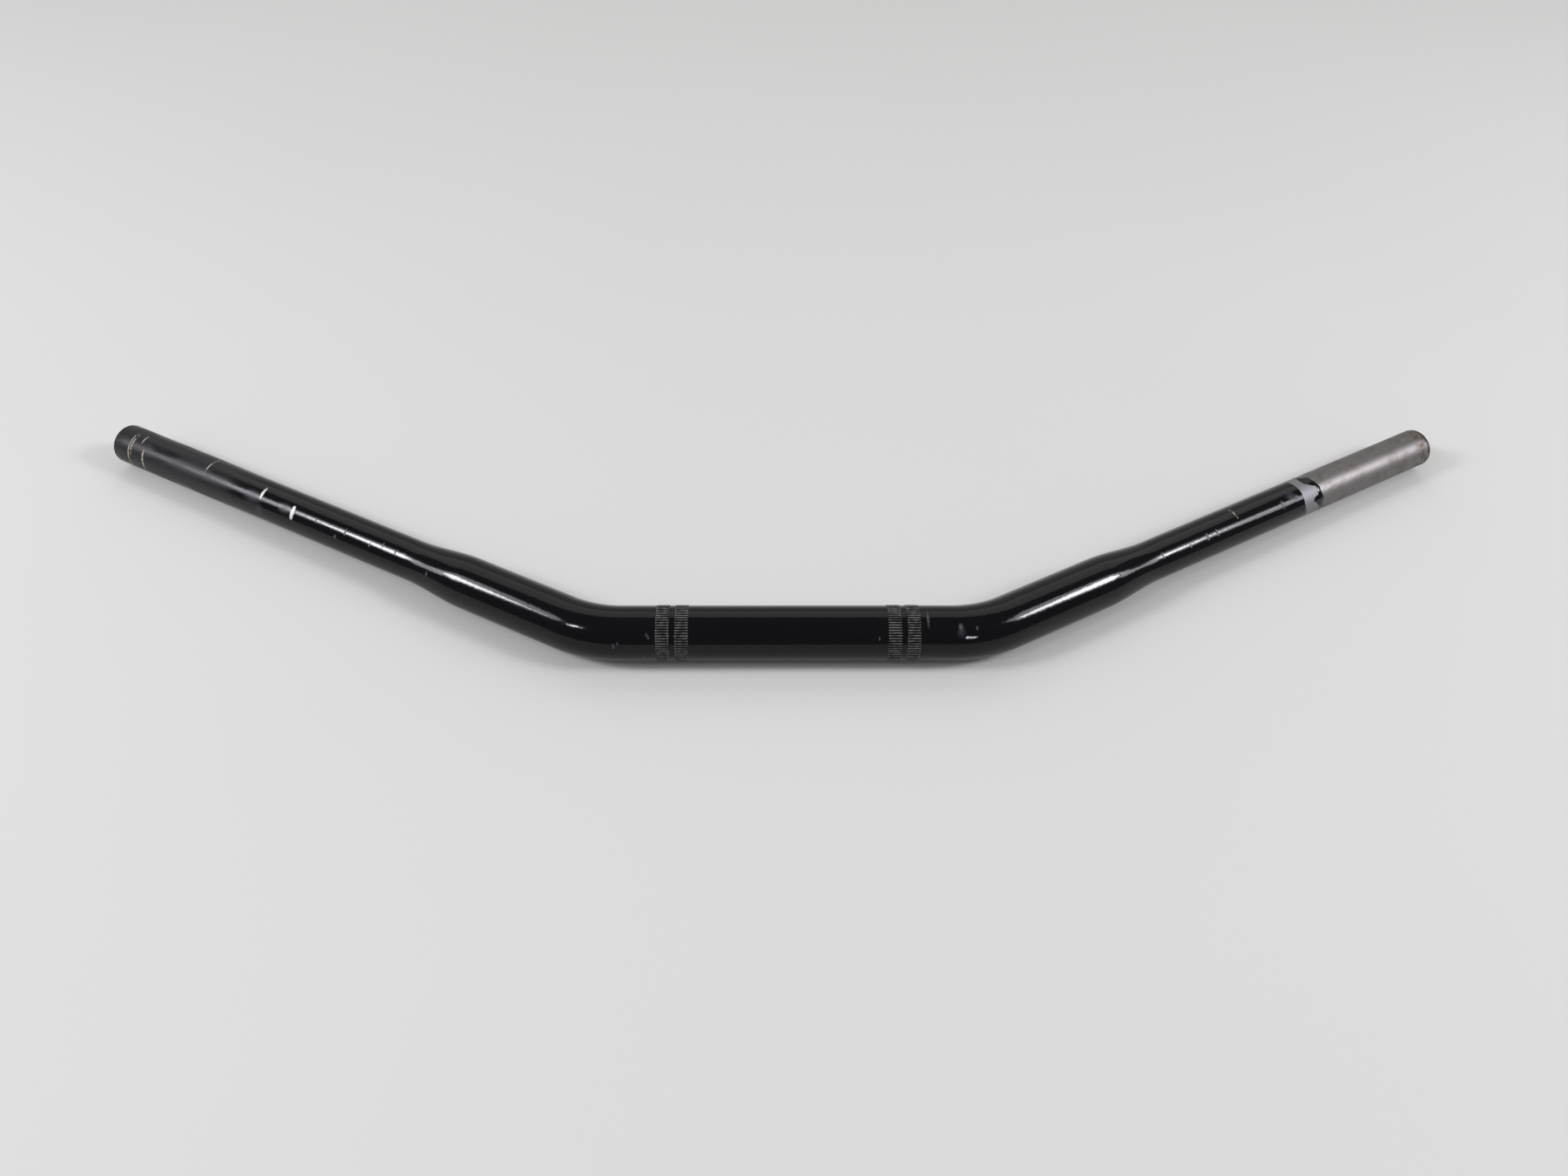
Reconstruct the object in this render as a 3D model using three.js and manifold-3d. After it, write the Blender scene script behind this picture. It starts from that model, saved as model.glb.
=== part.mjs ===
// Motorcycle drag handlebar: one steel tube, 31.75 mm (1 1/4 in) across at the clamps and swaged down to
// 25.4 mm (1 in) for the controls and grips, bent once on each side and knurled where the risers clamp it.
// A turned steel insert with a tapped hole sits inside each end of the tube, for a bar-end screw.
// Millimetres, +Z up. The bar lies on its side as on a bench: +X along it, to the throttle end, and +Y the
// way the arms are pulled back. The origin is under the middle of the bar's box, on the surface it lies on.
import * as THREE from "three";
import { mergeVertices } from "three/addons/utils/BufferGeometryUtils.js";
import Module from "manifold-3d";

// Tube sections.
const INCH = 25.4;
const CENTRE_RADIUS = (1.25 * INCH) / 2;
const END_RADIUS = (1.0 * INCH) / 2;
const WALL = 3.0;
const OUTER_CHAMFER = 0.8;
const INNER_CHAMFER = 0.5;

// Centreline of one half, measured from the middle of the bar. The bend's vertex is where the lines of
// the centre and the arm cross.
const VERTEX_FROM_MIDDLE = 112;
const BEND_ANGLE = THREE.MathUtils.degToRad(28.5);
const BEND_RADIUS = 72;
const ARM_LENGTH = 367.5;

// The swaged taper, measured along the arm from the vertex.
const TAPER_MIDDLE = 106.2;
const TAPER_LENGTH = 41.7;

// Straight knurling: two bands under each riser clamp, each with teeth along the bar.
const KNURL_BANDS = [56.0, 66.7];
const KNURL_WIDTH = 7.9;
const KNURL_TEETH = 66;
const KNURL_TIP = CENTRE_RADIUS + 0.25;
const KNURL_ROOT = CENTRE_RADIUS + 0.02;
const KNURL_EYE = CENTRE_RADIUS - 1.0;

// The insert in each end.
const INSERT_RECESS = 16;
const INSERT_LENGTH = 28;
const INSERT_GAP = 0.3;
const INSERT_HOLE_RADIUS = 3.4;
const INSERT_CHAMFER = 1.0;

// Fineness.
const SIDES = 32;
const OUTER_STEPS = { bend: 8, taper: 8 };
const BORE_STEPS = { bend: 5, taper: 4 };

// Distances along the centreline.
const TANGENT = BEND_RADIUS * Math.tan(BEND_ANGLE / 2);
const BEND_START = VERTEX_FROM_MIDDLE - TANGENT;
const BEND_END = BEND_START + BEND_RADIUS * BEND_ANGLE;
const TAPER_START = BEND_END + TAPER_MIDDLE - TAPER_LENGTH / 2 - TANGENT;
const TAPER_END = TAPER_START + TAPER_LENGTH;
const HALF_LENGTH = BEND_END + ARM_LENGTH - TANGENT;

const blackCoat = new THREE.MeshStandardMaterial({ color: 0x0c0c0d, roughness: 0.22, metalness: 0.0 });
const turnedSteel = new THREE.MeshStandardMaterial({ color: 0x8d8a86, roughness: 0.4, metalness: 1.0 });

const wasm = await Module();
wasm.setup();

// The tube's outer radius at a distance along the centreline: a swage leaves an S-shaped taper.
function outerRadius(along) {
  const passed = THREE.MathUtils.smoothstep(Math.abs(along), TAPER_START, TAPER_END);
  return THREE.MathUtils.lerp(CENTRE_RADIUS, END_RADIUS, passed);
}

// The centreline's point and heading at a distance from the middle, seen from above.
function centreline(along) {
  const side = Math.sign(along) || 1;
  const distance = Math.abs(along);
  const angle = THREE.MathUtils.clamp((distance - BEND_START) / BEND_RADIUS, 0, BEND_ANGLE);
  const before = Math.min(distance, BEND_START);
  const after = Math.max(distance - BEND_END, 0);
  const x = before + BEND_RADIUS * Math.sin(angle) + after * Math.cos(angle);
  const y = BEND_RADIUS * (1 - Math.cos(angle)) + after * Math.sin(angle);
  return { x: side * x, y, heading: side * angle };
}

// Numbers from low to high, both included.
function evenly(low, high, steps) {
  return Array.from({ length: steps + 1 }, (_, i) => THREE.MathUtils.lerp(low, high, i / steps));
}

// Distances along the centreline, from end to end, where the bends and tapers need a ring of vertices.
function stations(steps) {
  const half = [
    ...evenly(BEND_START, BEND_END, steps.bend),
    ...evenly(TAPER_START, TAPER_END, steps.taper),
  ];
  return [...half.map((along) => -along).reverse(), ...half];
}

// A ring of material turned about the bar's axis, still straight: a closed profile of [radius, along].
function turned(profile) {
  const points = profile.map(([radius, along]) => new THREE.Vector2(radius, along));
  const geometry = new THREE.LatheGeometry([...points, points[0]], SIDES);
  return geometry.rotateZ(-Math.PI / 2);
}

// Bends straight stock along the centreline. Lengths along the axis and sections across it are kept.
function bend(geometry) {
  const position = geometry.getAttribute("position");
  for (let i = 0; i < position.count; i += 1) {
    const axis = centreline(position.getX(i));
    const across = position.getY(i);
    const x = axis.x - across * Math.sin(axis.heading);
    const y = axis.y + across * Math.cos(axis.heading);
    position.setXYZ(i, x, y, position.getZ(i));
  }
  return geometry;
}

function solidOf(geometry) {
  const bare = geometry.index ? geometry.toNonIndexed() : geometry.clone();
  bare.deleteAttribute("normal");
  bare.deleteAttribute("uv");
  const merged = mergeVertices(bare, 1e-3);
  const vertProperties = merged.getAttribute("position").array;
  const triVerts = new Uint32Array(merged.index.array);
  return new wasm.Manifold(new wasm.Mesh({ numProp: 3, vertProperties, triVerts }));
}

function geometryOf(solid) {
  const mesh = solid.getMesh();
  const geometry = new THREE.BufferGeometry();
  geometry.setAttribute("position", new THREE.BufferAttribute(mesh.vertProperties, 3));
  geometry.setIndex(new THREE.BufferAttribute(mesh.triVerts, 1));
  geometry.computeVertexNormals();
  return geometry;
}

// The bare tube as it leaves the swage: outer skin, end faces and bore in one closed profile.
function straightTube() {
  const bore = END_RADIUS - WALL;
  const outer = stations(OUTER_STEPS).map((along) => [outerRadius(along), along]);
  const inner = stations(BORE_STEPS).map((along) => [outerRadius(along) - WALL, along]);
  return turned([
    [bore + INNER_CHAMFER, -HALF_LENGTH],
    [END_RADIUS - OUTER_CHAMFER, -HALF_LENGTH],
    [END_RADIUS, -HALF_LENGTH + OUTER_CHAMFER],
    ...outer,
    [END_RADIUS, HALF_LENGTH - OUTER_CHAMFER],
    [END_RADIUS - OUTER_CHAMFER, HALF_LENGTH],
    [bore + INNER_CHAMFER, HALF_LENGTH],
    [bore, HALF_LENGTH - INNER_CHAMFER],
    ...inner.reverse(),
    [bore, -HALF_LENGTH + INNER_CHAMFER],
  ]);
}

// A toothed ring that stands on the tube, sunk into its wall.
function knurlBand(start) {
  const outline = new THREE.Shape();
  for (let tooth = 0; tooth < KNURL_TEETH; tooth += 1) {
    const tip = (2 * Math.PI * tooth) / KNURL_TEETH;
    const root = tip + Math.PI / KNURL_TEETH;
    const move = tooth === 0 ? "moveTo" : "lineTo";
    outline[move](KNURL_TIP * Math.cos(tip), KNURL_TIP * Math.sin(tip));
    outline.lineTo(KNURL_ROOT * Math.cos(root), KNURL_ROOT * Math.sin(root));
  }
  const eye = new THREE.Path();
  eye.absarc(0, 0, KNURL_EYE, 0, 2 * Math.PI, true);
  outline.holes.push(eye);
  const settings = { depth: KNURL_WIDTH, bevelEnabled: false, curveSegments: SIDES / 2 };
  const band = new THREE.ExtrudeGeometry(outline, settings);
  return band.rotateY(Math.PI / 2).translate(start, 0, 0);
}

function barTube() {
  const starts = KNURL_BANDS.flatMap((from) => [from, -from - KNURL_WIDTH]);
  const tube = solidOf(bend(straightTube()));
  return starts.reduce((joined, start) => joined.add(solidOf(knurlBand(start))), tube);
}

// A turned bush with a through hole, chamfered at both ends. Side is 1 for the throttle end and -1 for
// the clutch end.
function endInsert(side) {
  const body = END_RADIUS - WALL - INSERT_GAP;
  const near = HALF_LENGTH - INSERT_RECESS;
  const far = near - INSERT_LENGTH;
  const [low, high] = side > 0 ? [far, near] : [-near, -far];
  return bend(
    turned([
      [INSERT_HOLE_RADIUS + INSERT_CHAMFER, low],
      [body - INSERT_CHAMFER, low],
      [body, low + INSERT_CHAMFER],
      [body, high - INSERT_CHAMFER],
      [body - INSERT_CHAMFER, high],
      [INSERT_HOLE_RADIUS + INSERT_CHAMFER, high],
      [INSERT_HOLE_RADIUS, high - INSERT_CHAMFER],
      [INSERT_HOLE_RADIUS, low + INSERT_CHAMFER],
    ]),
  );
}

function piece(name, geometry, material) {
  const mesh = new THREE.Mesh(geometry, material);
  mesh.name = name;
  return mesh;
}

const bar = new THREE.Group();
bar.add(piece("bar_tube", geometryOf(barTube()), blackCoat));
bar.add(piece("left_end_insert", endInsert(-1), turnedSteel));
bar.add(piece("right_end_insert", endInsert(1), turnedSteel));

// The bar rests on the wide end of each taper and on its thin ends, so its plane tips down to the ends.
const restingSpan = (ARM_LENGTH - TAPER_MIDDLE + TAPER_LENGTH / 2) * Math.sin(BEND_ANGLE);
bar.rotation.x = -Math.asin((CENTRE_RADIUS - END_RADIUS) / restingSpan);

const box = new THREE.Box3().setFromObject(bar, true);
const middle = box.getCenter(new THREE.Vector3());
bar.position.set(-middle.x, -middle.y, -box.min.z);

const handlebar = new THREE.Group();
handlebar.add(bar);

export default handlebar;
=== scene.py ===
"""Looks for a used motorcycle drag handlebar lying on a pale bench.

The bar is one steel tube under gloss black paint. The paint is intact at the clutch end, where a grip's
glue has left it dull and ringed, and it is stripped from the last 120 mm at the throttle end, where a
scrap of it still goes round the bare steel. A turned, tapped insert sits in each end.
Places along the bar are measured in millimetres from its middle, positive to the throttle end, and
angles round it in degrees from the top towards the front.
"""

import math

import bmesh
import bpy
import numpy as np
from mathutils import Matrix, Vector


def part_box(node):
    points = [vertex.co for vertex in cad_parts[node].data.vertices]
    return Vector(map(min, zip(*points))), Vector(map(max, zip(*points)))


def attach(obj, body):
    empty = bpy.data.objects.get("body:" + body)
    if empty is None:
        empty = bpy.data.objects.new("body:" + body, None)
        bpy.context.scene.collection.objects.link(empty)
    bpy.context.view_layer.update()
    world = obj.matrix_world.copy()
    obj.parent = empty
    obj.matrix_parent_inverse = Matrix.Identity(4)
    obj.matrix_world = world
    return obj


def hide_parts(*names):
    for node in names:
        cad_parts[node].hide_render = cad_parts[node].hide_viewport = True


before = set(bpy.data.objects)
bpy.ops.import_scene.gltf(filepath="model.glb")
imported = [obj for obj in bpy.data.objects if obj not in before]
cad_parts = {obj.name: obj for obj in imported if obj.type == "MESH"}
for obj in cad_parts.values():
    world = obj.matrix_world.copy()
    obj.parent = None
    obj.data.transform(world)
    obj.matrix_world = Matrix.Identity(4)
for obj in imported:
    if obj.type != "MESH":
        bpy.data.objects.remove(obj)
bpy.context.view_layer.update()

MM = 0.001

# The bar's sections and centreline, in millimetres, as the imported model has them.
CENTRE_RADIUS = 15.875
END_RADIUS = 12.7
WALL = 3.0
BEND_START = 93.714
BEND_END = 129.528
BEND_RADIUS = 72.0
BEND_ANGLE = math.radians(28.5)
TAPER_START = 196.593
TAPER_END = 238.293
HALF_LENGTH = 478.743
ARM_TILT = math.radians(-1.3513)
INSERT_RECESS = 16.0
INSERT_LENGTH = 28.0

# The knurled bands: where each starts, and how its teeth stand. A tooth's corners are shares of its pitch,
# and their heights go from its root to its crest.
KNURL_BANDS = (56.0, 66.7)
KNURL_WIDTH = 7.9
KNURL_TEETH = 66
KNURL_CREST = 0.22
KNURL_ROOT = -0.08
KNURL_RUN_OUT = 0.4
TOOTH_CORNERS = (-0.16, 0.16, 0.37, 0.63)
TOOTH_HEIGHTS = (1.0, 1.0, 0.0, 0.0)

# The paint's thickness, how deep its hidden side is buried in the steel, where it stops at each end, and how
# the tube's edges are rounded.
PAINT = 0.12
BURIED = 0.05
PAINT_EDGE = HALF_LENGTH - 120.5
PAINT_IN_BORE = 7.0
EDGE_ROUND = 0.8
BARE_ROUND = 0.5
BORE_ROUND = 0.5

# How far from the clutch end the grip's glue has dulled the paint at all, and dulled it fully.
GRIP_REACH = 126.0
GRIP_FULL = 78.0

# Edges of the scrap of paint on the bare steel: degrees from the top towards the front, and millimetres
# from the throttle end.
SCRAP_INBOARD = (
    (-180, 108.5),
    (-60, 109.5),
    (-31, 112.0),
    (-12, 114.2),
    (4, 113.6),
    (16, 110.5),
    (25, 107.2),
    (50, 107.6),
    (56, 111.4),
    (66, 112.4),
    (77, 109.2),
    (95, 105.6),
    (118, 102.5),
    (180, 104.0),
)
SCRAP_OUTBOARD = (
    (-180, 106.0),
    (-60, 106.5),
    (-38, 106.4),
    (7, 105.9),
    (32, 104.5),
    (43, 104.8),
    (70, 103.2),
    (83, 103.8),
    (103, 101.6),
    (118, 102.4),
    (180, 103.6),
)
SCRAP_LEAST_WIDTH = 0.5

# Spacing of the rings of vertices along each skin, the rings in a bend and in a taper, how far the rings
# keep from an end, and the angle from which an edge is drawn sharp.
PAINT_STEP = 9.0
STEEL_STEP = 12.0
BORE_STEP = 24.0
BEND_RINGS = 17
TAPER_RINGS = 19
PLAIN_RINGS_STOP = 2.0
STEEL_RINGS_STOP = 3.0
SHARP_EDGE = math.radians(32)

# The gap round the inserts, their grooves, measured from the inner end, and their tapped hole.
INSERT_GAP = 0.3
INSERT_GROOVES = (7.0, 14.0, 21.0)
GROOVE_DEPTH = 0.35
GROOVE_HALF_WIDTH = 1.2
GROOVE_FLOOR_HALF_WIDTH = 0.9
THREAD_PITCH = 1.25
THREAD_CREST = 3.4
THREAD_DEPTH = 0.65


# Shape of the bar.


def smoothstep(value, low, high):
    passed = np.clip((value - low) / (high - low), 0.0, 1.0)
    return passed * passed * (3.0 - 2.0 * passed)


def outer_radius(along):
    """The tube's outer radius at a distance along the centreline."""
    passed = smoothstep(np.abs(along), TAPER_START, TAPER_END)
    return CENTRE_RADIUS + (END_RADIUS - CENTRE_RADIUS) * passed


def centreline(along):
    """The centreline's x, y and heading at a distance from the middle, in the bar's own plane."""
    side = np.where(along < 0, -1.0, 1.0)
    distance = np.abs(along)
    angle = np.clip((distance - BEND_START) / BEND_RADIUS, 0.0, BEND_ANGLE)
    before = np.minimum(distance, BEND_START)
    after = np.maximum(distance - BEND_END, 0.0)
    x = before + BEND_RADIUS * np.sin(angle) + after * np.cos(angle)
    y = BEND_RADIUS * (1.0 - np.cos(angle)) + after * np.sin(angle)
    return side * x, y, side * angle


def bend(along, radius, angle):
    """Points of the straight stock, carried to the bent and tipped bar. The angle is in radians."""
    x, y, heading = centreline(along)
    across = -radius * np.sin(angle)
    up = radius * np.cos(angle)
    x = x - across * np.sin(heading)
    y = y + across * np.cos(heading)
    turned_y = y * math.cos(ARM_TILT) - up * math.sin(ARM_TILT)
    turned_z = y * math.sin(ARM_TILT) + up * math.cos(ARM_TILT)
    return np.stack([x, turned_y, turned_z], axis=-1)


def seat():
    """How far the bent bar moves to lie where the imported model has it, found from its two inserts."""
    middles = [sum(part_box(side + "_end_insert"), Vector()) / 2 for side in ("left", "right")]
    along = HALF_LENGTH - INSERT_RECESS - INSERT_LENGTH / 2
    own = bend(np.array([-along, along]), np.zeros(2), np.zeros(2))
    return np.mean(np.array(middles) / MM - own, axis=0)


SEAT = seat()


def wobble(angle, seed, rounds=(3, 5, 8, 13, 21, 34)):
    """A ragged closed curve round the bar, about -1 to 1, the same on every run."""
    total = np.zeros_like(angle)
    chance = np.random.default_rng(seed)
    for turns in rounds:
        total += np.sin(turns * angle + chance.uniform(0, 2 * math.pi)) / math.sqrt(turns)
    return total / 1.2


# Mesh building.


def skin(name, along, radius, angle):
    """A closed skin from a grid of places. Its rows go round the bar, and the last joins the first."""
    rows, sides = along.shape
    angle = np.broadcast_to(angle, along.shape)
    points = (bend(along, radius, angle) + SEAT) * MM
    row = np.arange(rows)[:, None]
    side = np.arange(sides)[None, :]
    next_row = (row + 1) % rows
    next_side = (side + 1) % sides
    corners = [row * sides + side, next_row * sides + side]
    corners += [next_row * sides + next_side, row * sides + next_side]
    faces = np.stack(corners, axis=-1).reshape(-1, 4)
    stock = np.stack([along, radius * np.sin(angle), radius * np.cos(angle)], axis=-1)
    return mesh_piece(name, points.reshape(-1, 3), faces.tolist(), stock.reshape(-1, 3))


def mesh_piece(name, points, faces, stock):
    """A smooth-shaded piece that faces out, with each vertex's place on the straight stock kept."""
    mesh = bpy.data.meshes.new(name)
    mesh.from_pydata(points.tolist(), [], faces)
    kept = mesh.attributes.new("stock", "FLOAT_VECTOR", "POINT")
    kept.data.foreach_set("vector", stock.astype(np.float32).ravel())
    shape = bmesh.new()
    shape.from_mesh(mesh)
    bmesh.ops.recalc_face_normals(shape, faces=shape.faces)
    shape.to_mesh(mesh)
    shape.free()
    mesh.shade_smooth()
    mesh.set_sharp_from_angle(angle=SHARP_EDGE)
    piece = bpy.data.objects.new(name, mesh)
    bpy.context.scene.collection.objects.link(piece)
    return piece


def stations(step):
    """Places along the bar for the rings of a skin, closer together in the bends and tapers."""
    half = list(np.arange(0.0, HALF_LENGTH - PLAIN_RINGS_STOP, step))
    half += list(np.linspace(BEND_START, BEND_END, BEND_RINGS))
    half += list(np.linspace(TAPER_START, TAPER_END, TAPER_RINGS))
    return np.unique(np.round(np.concatenate([np.negative(half), half]), 3))


def knurl_stations():
    """Places along the bar where a knurled band needs a ring."""
    half = []
    outside = 0.1
    inside = 2.4
    for start in KNURL_BANDS:
        end = start + KNURL_WIDTH
        half += [start - outside, start, start + KNURL_RUN_OUT, start + inside]
        half += [end - inside, end - KNURL_RUN_OUT, end, end + outside]
    return np.concatenate([np.negative(half), half])


def tooth_angles():
    """Angles round the bar of the corners of its knurl teeth."""
    tooth = np.arange(KNURL_TEETH)[:, None]
    return ((tooth + np.array(TOOTH_CORNERS)) * 2 * math.pi / KNURL_TEETH).ravel()


def knurl_height(along):
    """How far the teeth stand in or out at each corner and place, from the tube's plain surface."""
    distance = np.abs(along)
    share = np.zeros_like(along)
    for start in KNURL_BANDS:
        into = np.clip((distance - start) / KNURL_RUN_OUT, 0.0, 1.0)
        out = np.clip((start + KNURL_WIDTH - distance) / KNURL_RUN_OUT, 0.0, 1.0)
        share = np.maximum(share, np.minimum(into, out))
    heights = np.tile(TOOTH_HEIGHTS, KNURL_TEETH)
    return share * (KNURL_ROOT + (KNURL_CREST - KNURL_ROOT) * heights)


def paint_edge(angle):
    """Where the paint stops round the bar at the throttle end: a cut edge that slants off underneath."""
    slant = 3.5 * smoothstep(np.abs(angle), math.radians(55), math.radians(120))
    raggedness = 0.22
    return PAINT_EDGE + slant + raggedness * wobble(angle, 7)


def rounded(centre_along, centre_radius, size, start, steps=4):
    """A quarter round in the bar's profile, as [along, radius] places. Start is an angle in degrees."""
    turns = np.radians(np.linspace(start, start + 90, steps + 1))
    return [[centre_along + size * math.cos(t), centre_radius + size * math.sin(t)] for t in turns]


def painted_skin():
    """The black paint: a thin closed coat over the tube, round its clutch end and just into the bore."""
    angle = tooth_angles()
    angle = (angle + math.pi) % (2 * math.pi) - math.pi
    rings = np.unique(np.concatenate([stations(PAINT_STEP), knurl_stations()]))
    rings = rings[(rings > -HALF_LENGTH + PLAIN_RINGS_STOP) & (rings < PAINT_EDGE - 4.0)][::-1]
    bore = END_RADIUS - WALL
    edge = paint_edge(angle)
    ones = np.ones_like(angle)

    # From the hidden foot of the cut edge, up over it and along the bar to the clutch end.
    rows = [
        (edge, ones * (END_RADIUS - PAINT - BURIED)),
        (edge, ones * (END_RADIUS - 0.04)),
        (edge - 0.06, ones * END_RADIUS),
        (edge - 0.8, ones * END_RADIUS),
        (ones * (PAINT_EDGE - 2.5), ones * END_RADIUS),
    ]
    for place in rings:
        at = ones * place
        rows.append((at, outer_radius(at) + knurl_height(at)))
    end = rounded(-HALF_LENGTH + EDGE_ROUND, END_RADIUS - EDGE_ROUND, EDGE_ROUND, 90)
    end += rounded(-HALF_LENGTH + BORE_ROUND, bore + BORE_ROUND, BORE_ROUND, 180)
    rows += [(ones * at, ones * radius) for at, radius in end]

    # A little way into the bore, and back under the steel's surface.
    in_bore = -HALF_LENGTH + PAINT_IN_BORE + 1.2 * wobble(angle, 11)
    hidden = PAINT + BURIED
    rows += [
        (ones * (-HALF_LENGTH + 3.0), ones * bore),
        (in_bore, ones * bore),
        (in_bore + 0.1, ones * (bore + hidden)),
        (ones * (-HALF_LENGTH + 0.9), ones * (bore + hidden)),
        (ones * (-HALF_LENGTH + hidden), ones * (bore + 0.8)),
        (ones * (-HALF_LENGTH + hidden), ones * (END_RADIUS - 1.0)),
        (ones * (-HALF_LENGTH + 1.1), ones * (END_RADIUS - hidden)),
    ]
    for place in rings[::-1][::2]:
        at = ones * place
        rows.append((at, outer_radius(at) - hidden))
    along = np.array([row[0] for row in rows])
    radius = np.array([row[1] for row in rows])
    return skin("paint_skin", along, radius, angle)


def steel_tube():
    """The steel under the paint: outer skin, rounded end faces and bore, closed all round."""
    angle = np.radians(np.arange(0, 360, 3.0))
    angle = (angle + math.pi) % (2 * math.pi) - math.pi
    bore = END_RADIUS - WALL + PAINT
    shell = END_RADIUS - PAINT
    left = -HALF_LENGTH + PAINT
    outer = [[at, outer_radius(at) - PAINT] for at in stations(STEEL_STEP)]
    inner = [[at, outer_radius(at) - WALL + PAINT] for at in stations(BORE_STEP)[::-1]]
    profile = rounded(left + EDGE_ROUND, shell - EDGE_ROUND, EDGE_ROUND, 90)[::-1]
    profile += [row for row in outer if abs(row[0]) < HALF_LENGTH - STEEL_RINGS_STOP]
    profile += rounded(HALF_LENGTH - BARE_ROUND, shell - BARE_ROUND, BARE_ROUND, 0)[::-1]
    profile += rounded(HALF_LENGTH - BORE_ROUND, bore + BORE_ROUND, BORE_ROUND, 270)[::-1]
    profile += [row for row in inner if abs(row[0]) < HALF_LENGTH - STEEL_RINGS_STOP]
    profile += rounded(left + BORE_ROUND, bore + BORE_ROUND, BORE_ROUND, 180)[::-1]
    profile = np.array(profile)
    along = np.repeat(profile[:, :1], len(angle), axis=1)
    radius = np.repeat(profile[:, 1:], len(angle), axis=1)
    return skin("steel_tube", along, radius, angle)


def scrap_outline(angle):
    """Both edges of the scrap of paint left round the bare steel, measured from the throttle end."""
    degrees = np.degrees(angle)
    inboard = np.interp(degrees, *np.transpose(SCRAP_INBOARD))
    outboard = np.interp(degrees, *np.transpose(SCRAP_OUTBOARD))
    inboard = inboard + 0.45 * wobble(angle, 3, (9, 17, 29, 47, 61))
    outboard = outboard - 0.30 * wobble(angle, 5, (7, 19, 31, 53))
    return inboard, outboard


def paint_scrap():
    """The ragged scrap of paint that was left as a line round the tube where the grip sleeve ended."""
    angle = np.radians(np.arange(-178.0, 112.0, 0.6))
    degrees = np.degrees(angle)
    inboard, outboard = scrap_outline(angle)
    width = np.maximum(inboard - outboard, SCRAP_LEAST_WIDTH)
    fade = smoothstep(degrees, 112.0, 96.0) * smoothstep(degrees, -178.0, -150.0)
    width = width * np.maximum(fade, 0.05)
    middle = HALF_LENGTH - (inboard + outboard) / 2
    low = middle - width / 2
    high = middle + width / 2
    base = END_RADIUS - PAINT - BURIED
    top = END_RADIUS - 0.02
    lip = 0.12 * np.minimum(width, 1.0)
    side = top - 0.05
    loops = [(low, base), (low, side), (low + lip, top)]
    loops += [(high - lip, top), (high, side), (high, base)]
    along = np.array([loop[0] for loop in loops]).T
    radius = np.array([np.full_like(angle, loop[1]) for loop in loops]).T
    turn = np.repeat(angle[:, None], len(loops), axis=1)
    points = (bend(along, radius, turn) + SEAT) * MM
    stock = np.stack([along, radius * np.sin(turn), radius * np.cos(turn)], axis=-1)
    count, across = along.shape
    faces = [list(range(across)), list(range((count - 1) * across, count * across))]
    for i in range(count - 1):
        for j in range(across):
            k = (j + 1) % across
            here = i * across
            ahead = here + across
            faces.append([here + j, here + k, ahead + k, ahead + j])
    return mesh_piece("paint_scrap", points.reshape(-1, 3), faces, stock.reshape(-1, 3))


def end_insert(side):
    """A turned bush with a tapped hole, for the bar-end screw. Side is 1 for the throttle end."""
    sides = 72
    angle = np.arange(sides) * 2 * math.pi / sides - math.pi
    body = END_RADIUS - WALL - INSERT_GAP
    outer_end = HALF_LENGTH - INSERT_RECESS
    inner_end = outer_end - INSERT_LENGTH
    chamfer = 0.6
    floor = body - GROOVE_DEPTH
    outline = [[inner_end, THREAD_CREST + 0.9], [inner_end, body - chamfer], [inner_end + chamfer, body]]
    for groove in INSERT_GROOVES:
        at = inner_end + groove
        outline += [[at - GROOVE_HALF_WIDTH, body], [at - GROOVE_FLOOR_HALF_WIDTH, floor]]
        outline += [[at + GROOVE_FLOOR_HALF_WIDTH, floor], [at + GROOVE_HALF_WIDTH, body]]
    outline += [[outer_end - chamfer, body], [outer_end, body - chamfer], [outer_end, THREAD_CREST + 1.3]]
    rows = [(np.full(sides, at), np.full(sides, radius)) for at, radius in outline]
    for at in np.arange(outer_end - 1.0, inner_end + 0.9, -THREAD_PITCH / 8):
        phase = (at / THREAD_PITCH - angle / (2 * math.pi)) % 1.0
        cut = THREAD_DEPTH * (1.0 - 2.0 * np.abs(phase - 0.5))
        rows.append((np.full(sides, at), THREAD_CREST + cut))
    along = side * np.array([row[0] for row in rows])
    radius = np.array([row[1] for row in rows])
    name = "right_tapped_insert" if side > 0 else "left_tapped_insert"
    return skin(name, along, radius, angle)


# Materials.


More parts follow.
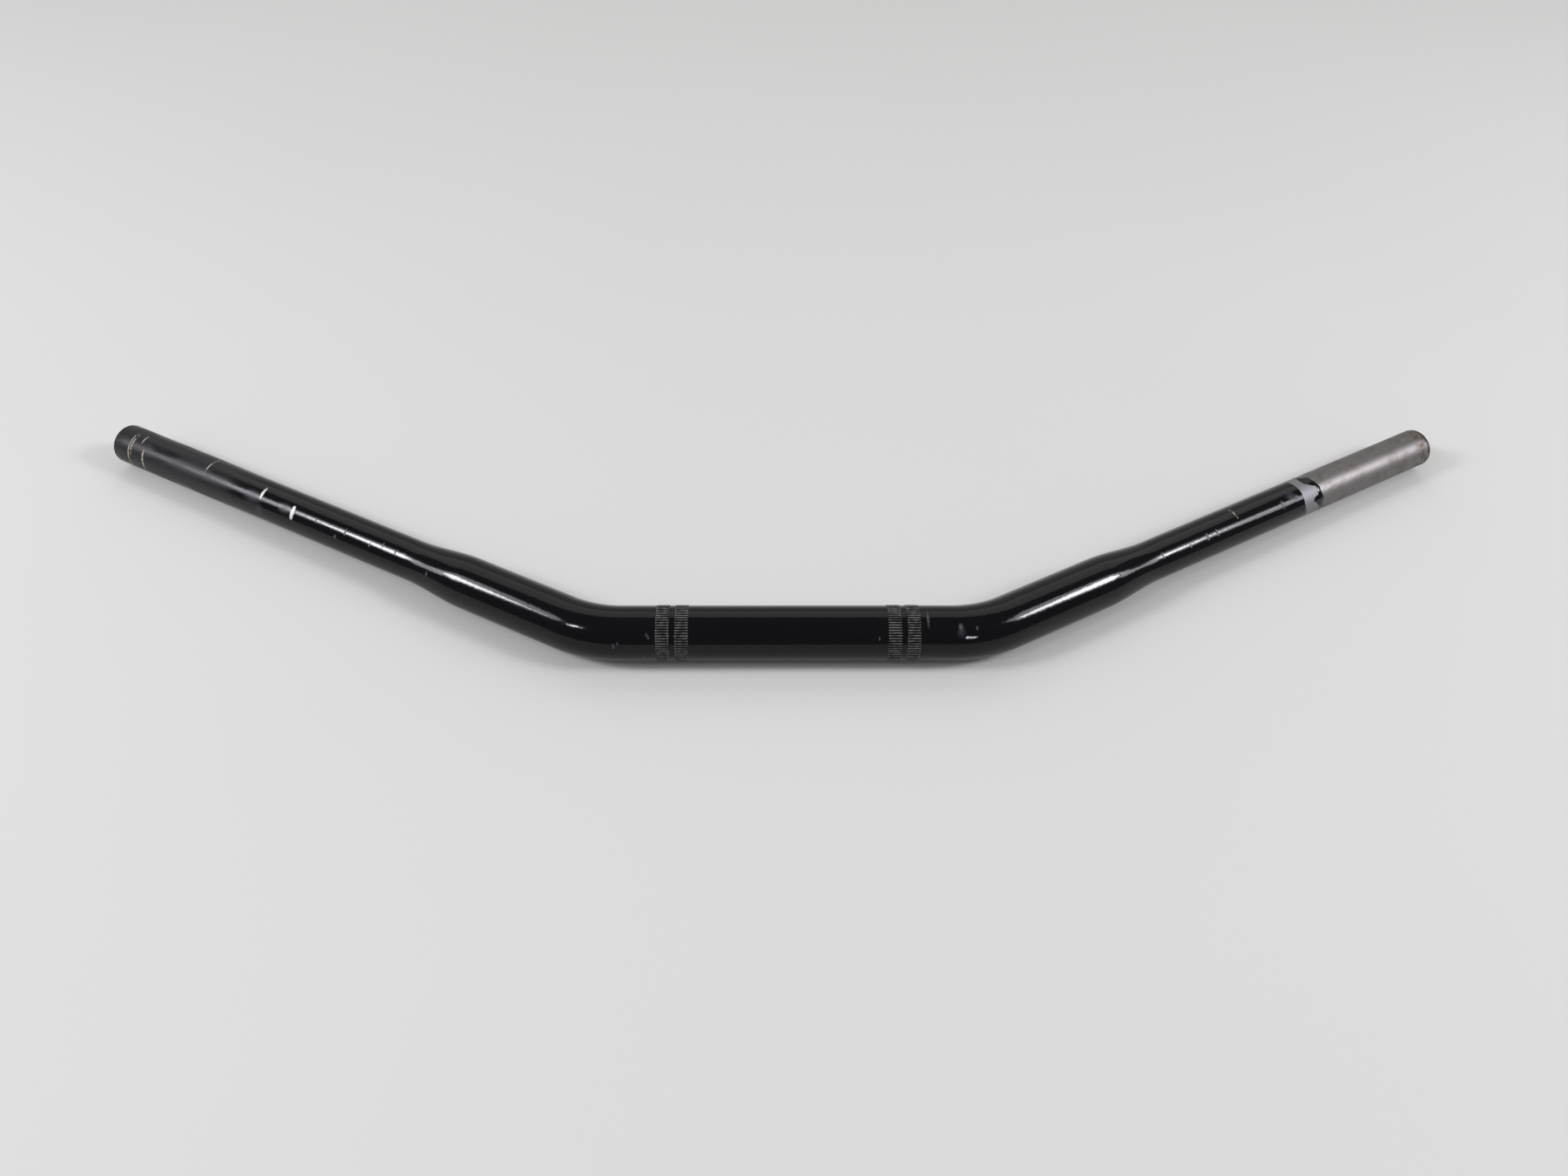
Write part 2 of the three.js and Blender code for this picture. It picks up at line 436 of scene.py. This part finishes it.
class Finish:
    """A material under construction, with a short call for each kind of node it needs."""

    def __init__(self, name):
        self.material = bpy.data.materials.new(name)
        self.material.use_nodes = True
        self.tree = self.material.node_tree
        self.tree.nodes.clear()
        self.shader = self.tree.nodes.new("ShaderNodeBsdfPrincipled")
        output = self.tree.nodes.new("ShaderNodeOutputMaterial")
        self.tree.links.new(self.shader.outputs[0], output.inputs["Surface"])

    def node(self, kind, inputs, **settings):
        made = self.tree.nodes.new(kind)
        for key, value in settings.items():
            setattr(made, key, value)
        for key, value in inputs.items():
            self.feed(made.inputs[key], value)
        return made

    def feed(self, socket, value):
        if isinstance(value, bpy.types.NodeSocket):
            self.tree.links.new(value, socket)
        else:
            socket.default_value = value

    def set(self, **values):
        for key, value in values.items():
            self.feed(self.shader.inputs[key.replace("_", " ")], value)

    def math(self, operation, *values):
        inputs = dict(enumerate(values))
        return self.node("ShaderNodeMath", inputs, operation=operation).outputs[0]

    def strongest(self, *values):
        total = values[0]
        for value in values[1:]:
            total = self.math("MAXIMUM", total, value)
        return total

    def product(self, *values):
        total = values[0]
        for value in values[1:]:
            total = self.math("MULTIPLY", total, value)
        return total

    def stock(self):
        """The place on the straight stock: along the bar, then towards the front and the top, in mm."""
        return self.node("ShaderNodeAttribute", {}, attribute_name="stock").outputs["Vector"]

    def parts(self, vector):
        return self.node("ShaderNodeSeparateXYZ", {0: vector}).outputs

    def joined(self, x, y):
        return self.node("ShaderNodeCombineXYZ", {0: x, 1: y}).outputs[0]

    def stretched(self, vector, x, y, z):
        inputs = {0: vector, 1: (x, y, z)}
        return self.node("ShaderNodeVectorMath", inputs, operation="MULTIPLY").outputs[0]

    def noise(self, vector, scale, detail=2.0, roughness=0.5):
        inputs = {"Vector": vector, "Scale": scale, "Detail": detail, "Roughness": roughness}
        return self.node("ShaderNodeTexNoise", inputs).outputs["Fac"]

    def between(self, value, low, high, start=0.0, end=1.0):
        """From start at low to end at high, smoothly, and level beyond them. Low may be above high."""
        inputs = {"Value": value, "From Min": low, "From Max": high, "To Min": start, "To Max": end}
        made = self.node("ShaderNodeMapRange", inputs, interpolation_type="SMOOTHSTEP")
        return made.outputs["Result"]

    def mixed(self, share, low, high):
        inputs = {"Factor": share, 2: low, 3: high}
        return self.node("ShaderNodeMix", inputs, data_type="FLOAT").outputs[0]

    def tinted(self, share, low, high):
        inputs = {"Factor": share, 6: low, 7: high}
        return self.node("ShaderNodeMix", inputs, data_type="RGBA").outputs[2]

    def relief(self, height, depth, under=None):
        """Surface relief of a height from 0 to 1, whose full depth is in millimetres."""
        inputs = {"Height": height, "Distance": depth * MM, "Strength": 1.0}
        if under is not None:
            inputs["Normal"] = under
        return self.node("ShaderNodeBump", inputs).outputs[0]

    def around_mark(self, place, along, angle, half_along, half_angle):
        """A place on the bar as a mark sees it: 0 at its middle and 1 at its half length and half width."""
        size = (half_along, half_angle, 1.0)
        inputs = {"Vector": place, "Location": (along, angle, 0.0), "Scale": size}
        return self.node("ShaderNodeMapping", inputs, vector_type="TEXTURE").outputs[0]

    def blot(self, place, mark, soft):
        """1 inside an oval mark and 0 outside it, over a soft share of its size."""
        local = self.around_mark(place, *mark)
        away = self.node("ShaderNodeVectorMath", {0: local}, operation="LENGTH").outputs["Value"]
        return self.between(away, 1.0 + soft, 1.0 - soft)

    def arc(self, place, mark):
        """1 inside a band that goes part of the way round the bar and narrows to its ends."""
        across, around, _ = self.parts(self.around_mark(place, *mark))
        reach = self.math("ADD", self.math("ABSOLUTE", across), self.product(around, around, 0.5))
        narrow = self.between(reach, 1.15, 0.85)
        short = self.between(self.math("ABSOLUTE", around), 1.05, 0.75)
        return self.product(narrow, short)

    def blots(self, place, listed, soft):
        return self.strongest(*[self.blot(place, mark, soft) for mark in listed])

    def arcs(self, place, listed):
        return self.strongest(*[self.arc(place, mark) for mark in listed])


def grey(value, warmth=0.0):
    """A grey with a share of warmth added to its red and taken from its blue."""
    return (value * (1.0 + warmth), value, value * (1.0 - warmth), 1.0)


# Marks on the paint: place along the bar, angle, half length along it, half width in degrees. The bare
# ones are two arcs inboard of the grip and a nick on the bend of the throttle side; the nick's light colour
# is also a painted glint. The scuffs in a row near 50 degrees at the ends of the knurled bands are painted
# glints.
BARE_ARCS_AND_GLINT = (
    (-350.9, 23.0, 0.95, 20.0),
    (-324.3, 44.0, 1.35, 21.0),
    # A small chip whose light colour is a painted glint.
    (101.4, 54.0, 3.0, 2.2),
)
DULL_PATCHES = (
    (-357.0, 45.0, 6.0, 17.0),
    (-331.0, 41.0, 4.6, 12.0),
    (-351.0, 74.0, 3.0, 14.0),
    (96.6, 42.0, 1.6, 9.0),
    (340.5, 39.0, 1.2, 11.0),
    (349.0, 22.0, 3.2, 11.0),
)
SCUFFS_AND_GLINTS = (
    (-305.7, 37.0, 0.6, 5.0),
    (-289.0, 61.0, 0.9, 5.0),
    (-282.4, 37.0, 0.45, 9.0),
    (-263.0, 45.0, 0.5, 6.0),
    (-254.0, 31.0, 0.5, 6.0),
    (-244.0, 36.0, 0.5, 5.0),
    (-218.0, 56.0, 0.7, 6.0),
    (-97.0, 71.0, 0.5, 5.0),
    (-95.2, 66.0, 0.35, 3.0),
    # The next six are painted glints: light spots in a row near 50 degrees at the knurled bands' ends.
    (-79.2, 47.0, 0.5, 3.0),
    (-78.3, 52.0, 0.4, 2.5),
    (-73.8, 50.0, 0.6, 2.4),
    (-67.3, 49.0, 0.5, 2.2),
    (-63.3, 50.0, 0.6, 2.6),
    (-57.0, 50.0, 0.9, 2.4),
    # Scuffs again from here on.
    (-80.6, 103.0, 0.6, 4.0),
    (51.0, 55.0, 0.5, 3.5),
    (78.5, 14.0, 0.6, 16.0),
    (96.4, 31.0, 0.9, 6.0),
    (104.6, 36.0, 0.4, 4.0),
    (203.0, 38.0, 0.7, 4.0),
    (239.0, 37.0, 0.5, 7.0),
    (261.0, 40.0, 0.5, 6.0),
    (275.5, 36.0, 0.6, 9.0),
    (283.6, 36.0, 0.5, 9.0),
    (339.8, 38.0, 0.35, 10.0),
    (353.0, 33.0, 1.2, 5.0),
)
GLUE_RINGS = (
    (-465.0, 60.0, 0.55, 62.0),
    (-463.0, 34.0, 0.4, 38.0),
    (-456.6, 8.0, 0.45, 16.0),
    (-452.2, 72.0, 0.75, 34.0),
    (-399.2, 2.0, 0.45, 34.0),
    (303.2, 4.0, 0.32, 22.0),
)


def black_paint():
    """Gloss black paint with orange peel, hairlines, grey scuffs, arcs worn to steel, painted glints and a
    dull grip.
    """
    made = Finish("black_paint")
    stock = made.stock()
    along, front, top = made.parts(stock)
    degrees = made.math("MULTIPLY", made.math("ARCTAN2", front, top), 180.0 / math.pi)
    fray = made.math("SUBTRACT", made.noise(stock, 0.9, 4.0, 0.65), 0.5)
    frayed_along = made.math("ADD", along, made.math("MULTIPLY", fray, 1.6))
    frayed_degrees = made.math("ADD", degrees, made.math("MULTIPLY", fray, 14.0))
    place = made.joined(frayed_along, frayed_degrees)

    speckle = made.between(made.noise(stock, 1.7, 3.0, 0.6), 0.34, 0.58)
    # Bare arcs, and a nick whose light colour is a painted glint.
    bare = made.arcs(place, BARE_ARCS_AND_GLINT)
    broken_up = made.math("ADD", 0.35, made.product(speckle, 0.65))
    dull = made.product(made.blots(place, DULL_PATCHES, 0.8), broken_up)
    # Grey scuffs, and painted glints in a row at the knurled bands' ends.
    scuffs_and_glints = made.product(made.blots(place, SCUFFS_AND_GLINTS, 0.6), speckle)
    ringed = made.arcs(place, GLUE_RINGS)

    # The grip covered the clutch end, and its glue has left the paint dull in smears.
    smear = made.noise(made.stretched(stock, 0.25, 1.0, 1.0), 0.16, 4.0, 0.62)
    gripped = made.between(along, -HALF_LENGTH + GRIP_REACH, -HALF_LENGTH + GRIP_FULL)
    glued = made.product(gripped, made.between(smear, 0.32, 0.60, 0.45, 1.0))
    broken = made.between(made.noise(stock, 0.55, 3.0), 0.36, 0.56)
    rings = made.product(ringed, broken)

    # The riser clamps have rubbed the crests and ends of the knurl.
    radius = made.math("SQRT", made.math("ADD", made.product(front, front), made.product(top, top)))
    crest = made.between(radius, CENTRE_RADIUS + 0.15, CENTRE_RADIUS + KNURL_CREST)
    patchy = made.between(made.noise(stock, 0.35, 3.0), 0.42, 0.62)
    ends = []
    for start in KNURL_BANDS:
        middle = start + KNURL_WIDTH / 2
        off = made.math("ABSOLUTE", made.math("SUBTRACT", made.math("ABSOLUTE", along), middle))
        ends.append(made.product(made.between(off, 2.7, 3.4), made.between(off, 4.0, 3.7)))
    uneven = made.between(made.noise(stock, 0.2, 2.0), 0.40, 0.60)
    end_worn = made.product(made.strongest(*ends), uneven)
    rubbed = made.product(crest, made.math("ADD", 0.22, made.product(patchy, 0.42)))
    rubbed = made.strongest(rubbed, made.product(crest, end_worn))

    # Hairlines run along the bar and, fewer of them, round it.
    lengthwise = made.noise(made.stretched(stock, 0.05, 1.0, 1.0), 5.0, 2.0, 0.6)
    crosswise = made.noise(made.stretched(stock, 1.0, 0.08, 0.08), 4.0, 2.0, 0.6)
    hairs_along = made.between(lengthwise, 0.66, 0.74)
    hairs = made.strongest(hairs_along, made.between(crosswise, 0.72, 0.80))
    worn = made.between(made.noise(stock, 0.05, 2.0), 0.42, 0.62)
    hairs = made.product(hairs, made.math("ADD", 0.25, made.product(worn, 0.75)))

    # Colour, from the plain paint to what lies over it or shows through it.
    black = (0.0013, 0.0013, 0.0020, 1.0)
    paler_black = (0.0023, 0.0022, 0.0028, 1.0)
    glued_black = (0.0100, 0.0096, 0.0112, 1.0)
    dulled_black = (0.027, 0.029, 0.038, 1.0)
    dried_glue = (0.30, 0.27, 0.21, 1.0)
    paint = made.tinted(made.noise(stock, 0.03, 2.0), black, paler_black)
    paint = made.tinted(glued, paint, glued_black)
    paint = made.tinted(made.product(dull, 0.7), paint, dulled_black)
    paint = made.tinted(rubbed, paint, grey(0.15, 0.02))
    paint = made.tinted(made.product(hairs, 0.22), paint, grey(0.05, 0.05))
    paint = made.tinted(made.product(scuffs_and_glints, 0.6), paint, grey(0.10, -0.03))
    paint = made.tinted(made.product(rings, 0.85), paint, dried_glue)
    steel = made.tinted(made.noise(stock, 0.9, 3.0), grey(0.36, 0.04), grey(0.58, 0.05))
    paint = made.tinted(bare, paint, steel)

    # Roughness, in the same order.
    gloss = made.mixed(made.noise(stock, 0.08, 3.0), 0.06, 0.13)
    gloss = made.mixed(hairs, gloss, 0.22)
    gloss = made.mixed(glued, gloss, 0.44)
    gloss = made.mixed(made.product(dull, 0.9), gloss, 0.42)
    gloss = made.mixed(rubbed, gloss, 0.35)
    gloss = made.mixed(scuffs_and_glints, gloss, 0.45)
    gloss = made.mixed(rings, gloss, 0.6)
    gloss = made.mixed(bare, gloss, 0.62)

    peel = made.relief(made.noise(stock, 0.42, 2.0), 0.035)
    fine = made.relief(made.noise(stock, 2.2, 3.0), 0.004, peel)
    scratched = made.relief(made.math("SUBTRACT", 1.0, hairs), 0.004, fine)
    chipped = made.relief(made.math("SUBTRACT", 1.0, made.strongest(bare, scuffs_and_glints)), 0.05, scratched)

    made.set(Base_Color=paint, Roughness=gloss, Metallic=made.product(bare, 0.5), Normal=chipped)
    made.set(IOR=1.34)
    return made.material


def bare_tube_steel():
    """Mild steel under the paint: drawn grain, brown stains, and a scraped ring by the paint's edge."""
    made = Finish("bare_tube_steel")
    stock = made.stock()
    along = made.parts(stock)[0]
    grain = made.noise(made.stretched(stock, 0.06, 1.0, 1.0), 2.4, 4.0, 0.6)
    turned = made.noise(made.stretched(stock, 1.0, 0.06, 0.06), 3.2, 4.0, 0.62)
    mottled = made.noise(stock, 0.09, 4.0, 0.6)
    fine = made.noise(stock, 1.4, 4.0, 0.65)
    raggedness = made.math("MULTIPLY", made.math("SUBTRACT", fine, 0.5), 2.2)
    ragged = made.math("ADD", along, raggedness)
    scraped = made.between(ragged, HALF_LENGTH - 105.6, HALF_LENGTH - 107.4)
    by_the_end = made.between(ragged, HALF_LENGTH - 17.0, HALF_LENGTH - 4.0)
    stain = made.product(made.between(mottled, 0.46, 0.66), made.between(fine, 0.30, 0.60))
    blotched = made.between(made.noise(stock, 0.22, 4.0, 0.6), 0.44, 0.60)
    stained = made.strongest(made.product(stain, 0.55), made.product(by_the_end, blotched))

    brown_steel = (0.138, 0.119, 0.104, 1.0)
    plain_steel = (0.224, 0.212, 0.204, 1.0)
    drawn_steel = (0.222, 0.215, 0.219, 1.0)
    stain_brown = (0.110, 0.085, 0.062, 1.0)
    scraped_steel = (0.20, 0.195, 0.205, 1.0)
    scraped_bright = (0.32, 0.315, 0.33, 1.0)
    end_edge_shade_brown = (0.050, 0.042, 0.036, 1.0)
    steel = made.tinted(mottled, brown_steel, plain_steel)
    steel = made.tinted(made.between(grain, 0.25, 0.75), steel, drawn_steel)
    steel = made.tinted(stained, steel, stain_brown)
    steel = made.tinted(scraped, steel, made.tinted(turned, scraped_steel, scraped_bright))
    # Painted shade of the rounded end edge: the last two millimetres before the throttle end are darkened
    # brown.
    end_edge_shade = made.between(ragged, HALF_LENGTH - 2.6, HALF_LENGTH - 1.4)
    steel = made.tinted(made.product(end_edge_shade, 0.8), steel, end_edge_shade_brown)

    gloss = made.mixed(grain, 0.43, 0.55)
    gloss = made.mixed(stained, gloss, 0.62)
    gloss = made.mixed(scraped, gloss, made.mixed(turned, 0.58, 0.72))

    drawn = made.relief(grain, 0.018)
    scratched = made.relief(made.product(turned, scraped), 0.05, drawn)
    pitted = made.relief(made.math("SUBTRACT", 1.0, stained), 0.012, scratched)
    made.set(Base_Color=steel, Roughness=gloss, Normal=pitted)
    made.set(Metallic=1.0)
    return made.material


def turned_steel():
    """Turned free-cutting steel of the inserts: tool rings and a light oil film gone brown in places."""
    made = Finish("turned_steel")
    stock = made.stock()
    rings = made.noise(made.stretched(stock, 1.0, 0.03, 0.03), 7.0, 2.0, 0.5)
    mottled = made.noise(stock, 0.35, 4.0, 0.6)
    film = made.between(mottled, 0.50, 0.68)
    grey_steel = (0.42, 0.40, 0.38, 1.0)
    bright_steel = (0.62, 0.60, 0.58, 1.0)
    old_oil = (0.20, 0.15, 0.10, 1.0)
    steel = made.tinted(rings, grey_steel, bright_steel)
    steel = made.tinted(made.product(film, 0.6), steel, old_oil)
    gloss = made.mixed(rings, 0.24, 0.40)
    gloss = made.mixed(film, gloss, 0.55)
    made.set(Base_Color=steel, Roughness=gloss, Normal=made.relief(rings, 0.012))
    made.set(Metallic=1.0)
    return made.material


def bench_top():
    """A pale matt bench, very slightly uneven in tone."""
    made = Finish("bench_top")
    place = made.node("ShaderNodeTexCoord", {}).outputs["Object"]
    cloud = made.noise(place, 2.5, 3.0)
    darkest = (0.416, 0.415, 0.403, 1.0)
    palest = (0.428, 0.427, 0.415, 1.0)
    made.set(Base_Color=made.tinted(cloud, darkest, palest))
    made.set(Roughness=0.85, IOR=1.2)
    return made.material


# Surroundings.


def bench():
    """A plain floor that goes on far past the picture, a hair below the bar."""
    half = 60.0
    clearance = 0.0002
    mesh = bpy.data.meshes.new("bench")
    corners = [(-half, -half, 0), (half, -half, 0), (half, half, 0), (-half, half, 0)]
    mesh.from_pydata(corners, [], [(0, 1, 2, 3)])
    floor = bpy.data.objects.new("bench", mesh)
    floor.location.z = -clearance
    floor.data.materials.append(bench_top())
    bpy.context.scene.collection.objects.link(floor)


def soft_light(name, place, target, size, power, colour):
    """A rectangular soft light. It hangs flat with its first size along X and its second along Y, and is
    then turned the shortest way to face its target."""
    lamp = bpy.data.lights.new(name, "AREA")
    lamp.shape = "RECTANGLE"
    lamp.size, lamp.size_y = size
    lamp.energy = power
    lamp.color = colour
    light = bpy.data.objects.new(name, lamp)
    light.location = place
    light.rotation_mode = "QUATERNION"
    light.rotation_quaternion = (Vector(target) - Vector(place)).to_track_quat("-Z", "Z")
    light.visible_camera = False
    bpy.context.scene.collection.objects.link(light)


def studio():
    """A soft lamp on each side in a dimmer reflector, a low lamp outside each, a small lamp at the front
    left, and a white wall behind."""
    cool = (0.94, 0.945, 1.0)
    warm = (1.0, 0.99, 0.975)
    for side, name in ((-1, "left"), (1, "right")):
        near = (side * 0.20, -0.04, 0.0)
        far = (side * 0.33, 0.03, 0.0)
        soft_light(name + "_lamp", (side * 1.93, -0.40, 1.50), near, (0.46, 0.44), 25.4, cool)
        soft_light(name + "_reflector", (side * 1.86, -0.36, 1.58), near, (0.92, 0.80), 14.6, cool)
        soft_light(name + "_low_lamp", (side * 2.32, -0.22, 1.19), far, (0.46, 0.44), 5.4, cool)
    soft_light("left_spot", (-1.32, -1.07, 1.70), (-0.12, -0.06, 0.0), (0.26, 0.24), 7.8, cool)
    soft_light("wall_top", (0.0, 1.9, 2.25), (0.0, 0.0, 0.3), (4.6, 1.7), 21.8, warm)
    soft_light("wall_foot", (0.0, 2.4, 0.85), (0.0, 0.0, 0.85), (5.0, 1.7), 8.0, warm)


def surroundings():
    """A room that fills the shadows, is dim in the bar's gloss and shows grey beyond the bench."""
    fill = 0.60
    in_gloss = 0.17
    beyond_bench = 0.42
    world = bpy.data.worlds.new("room")
    world.use_nodes = True
    tree = world.node_tree
    tree.nodes.clear()
    rays = tree.nodes.new("ShaderNodeLightPath")
    output = tree.nodes.new("ShaderNodeOutputWorld")
    filling = tree.nodes.new("ShaderNodeBackground")
    filling.inputs["Color"].default_value = (fill, fill, fill, 1.0)
    reached = filling.outputs[0]
    for kind, tone in (("Is Glossy Ray", in_gloss), ("Is Camera Ray", beyond_bench)):
        shown = tree.nodes.new("ShaderNodeBackground")
        shown.inputs["Color"].default_value = (tone, tone, tone, 1.0)
        mix = tree.nodes.new("ShaderNodeMixShader")
        tree.links.new(rays.outputs[kind], mix.inputs[0])
        tree.links.new(reached, mix.inputs[1])
        tree.links.new(shown.outputs[0], mix.inputs[2])
        reached = mix.outputs[0]
    tree.links.new(reached, output.inputs["Surface"])
    bpy.context.scene.world = world


def camera():
    """The photograph's view: from in front and above, over the middle of the bar."""
    yaw = math.radians(2.31)
    pitch = math.radians(45.61)
    roll = math.radians(-1.65)
    eye = (-0.02109, -0.53689, 0.51570)
    forward = math.cos(pitch)
    ahead = Vector((math.sin(yaw) * forward, math.cos(yaw) * forward, -math.sin(pitch)))
    level = Vector((math.cos(yaw), -math.sin(yaw), 0.0))
    down = ahead.cross(level)
    right = level * math.cos(roll) + down * math.sin(roll)
    up = level * math.sin(roll) - down * math.cos(roll)
    lens = bpy.data.cameras.new("camera")
    lens.sensor_width = 36.0
    lens.lens = 27.04
    lens.clip_start = 0.01
    lens.clip_end = 50.0
    view = bpy.data.objects.new("camera", lens)
    axes = Matrix((right, up, -ahead)).transposed()
    view.matrix_world = Matrix.Translation(eye) @ axes.to_4x4()
    bpy.context.scene.collection.objects.link(view)
    bpy.context.scene.camera = view


def finished(piece, material, slot, *nodes):
    """A piece of the bar with its material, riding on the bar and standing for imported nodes."""
    piece.data.materials.append(material)
    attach(piece, "root")
    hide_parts(*nodes)


camera()
bench()
studio()
surroundings()
paint = black_paint()
turned = turned_steel()
finished(painted_skin(), paint, "black_coat", "bar_tube")
finished(paint_scrap(), paint, "black_coat", "bar_tube")
finished(steel_tube(), bare_tube_steel(), "bare_steel", "bar_tube")
finished(end_insert(-1), turned, "bare_steel", "left_end_insert")
finished(end_insert(1), turned, "bare_steel", "right_end_insert")
bpy.context.scene.view_settings.view_transform = "Standard"
